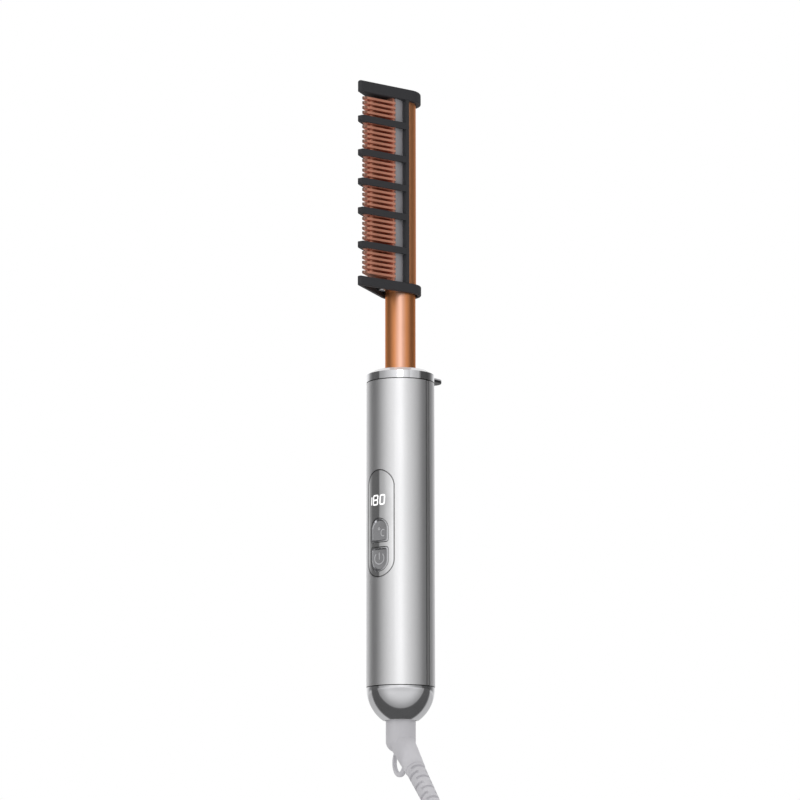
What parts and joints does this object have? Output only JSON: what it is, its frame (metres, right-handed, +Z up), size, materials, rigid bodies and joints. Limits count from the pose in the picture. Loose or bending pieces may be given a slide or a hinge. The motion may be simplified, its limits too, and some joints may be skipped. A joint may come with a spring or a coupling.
{
  "type": "electric hot comb",
  "caption": "Hand-held electric hot comb: heated metal comb in a ribbed guard, round handle with display and keys, swivel mains cord.",
  "frame": {"origin": "on the handle's axis, halfway up the plain cylinder of the handle body, which is the grip", "axes": "+Z up the handle towards the comb head, -Y the way the comb's teeth and the buttons face, +X to the right as they face the viewer"},
  "size_m": [0.0772, 0.0747, 0.6069],
  "materials": {
    "silver_paint": "satin silver paint",
    "silver_trim": "satin silver",
    "chrome_ring": "polished",
    "foot_plastic": "light grey above, dark below",
    "panel_gloss": "silver-grey, high gloss",
    "key_plastic": "silver-grey, gloss",
    "copper": "copper-coloured coating, satin",
    "black_nylon": "satin black",
    "grey_trim": "mid grey",
    "circuit_board": "green laminate",
    "dark_package": "moulded package",
    "white_nylon": "heat-proof, off-white",
    "steel": "plated",
    "ceramic": "ceramic",
    "film": "amber film",
    "brass": "plain",
    "cap_gloss": "silver, high gloss",
    "boot_plastic": "light grey, soft",
    "cord_plastic": "light grey vinyl",
    "tie_plastic": "light grey",
    "lead_plastic": "sleeved wire"
  },
  "bodies": {
    "handle": {"front_shell": "silver_paint", "back_shell": "silver_paint", "side_trim_left": "silver_trim", "side_trim_right": "silver_trim", "collar_ring": "chrome_ring", "rest_foot": "foot_plastic", "control_panel": "panel_gloss", "tact_switches": "dark_package", "display_module": "dark_package", "main_board": "circuit_board", "board_screws": "steel", "triac": "dark_package", "capacitor": "dark_package", "barrel_bush": "white_nylon", "barrel_tube": "copper", "comb_body": "copper", "side_strip_left": "grey_trim", "side_strip_right": "grey_trim", "guard_base_plate": "black_nylon", "guard_top_cap": "black_nylon", "guard_rail_left": "black_nylon", "guard_rail_right": "black_nylon", "guard_ribs": "black_nylon", "guard_screws": "steel", "heater_plate": "ceramic", "heater_insulation": "film", "heater_spring": "steel", "heater_leads": "lead_plastic", "thermal_fuse": "steel", "thermistor": "dark_package", "thermistor_leads": "lead_plastic", "end_cap": "cap_gloss", "swivel_bushing": "white_nylon", "contact_plate": "dark_package", "contact_brushes": "brass", "mains_leads": "lead_plastic"},
    "temperature_key": {"temperature_button": "key_plastic"},
    "power_key": {"power_button": "key_plastic"},
    "cord_swivel": {"cord_boot": "boot_plastic", "swivel_clip": "steel", "slip_rings": "brass", "strain_relief": "boot_plastic", "power_cord": "cord_plastic", "cord_hank": "cord_plastic", "cord_tie": "tie_plastic", "plug_lead": "cord_plastic", "plug_body": "boot_plastic", "plug_pins": "brass"}
  },
  "joints": [
    {"name": "temperature_press", "type": "slide", "parent": "handle", "child": "temperature_key", "axis": [0, 1, 0], "range_m": [0, 0.0005], "stiffness_N_per_m": 600},
    {"name": "power_press", "type": "slide", "parent": "handle", "child": "power_key", "axis": [0, 1, 0], "range_m": [0, 0.0005], "stiffness_N_per_m": 600},
    {"name": "cord_turn", "type": "hinge", "parent": "handle", "child": "cord_swivel", "pos_m": [0, 0, -0.0799], "axis": [0, 0, 1], "continuous": true}
  ]
}
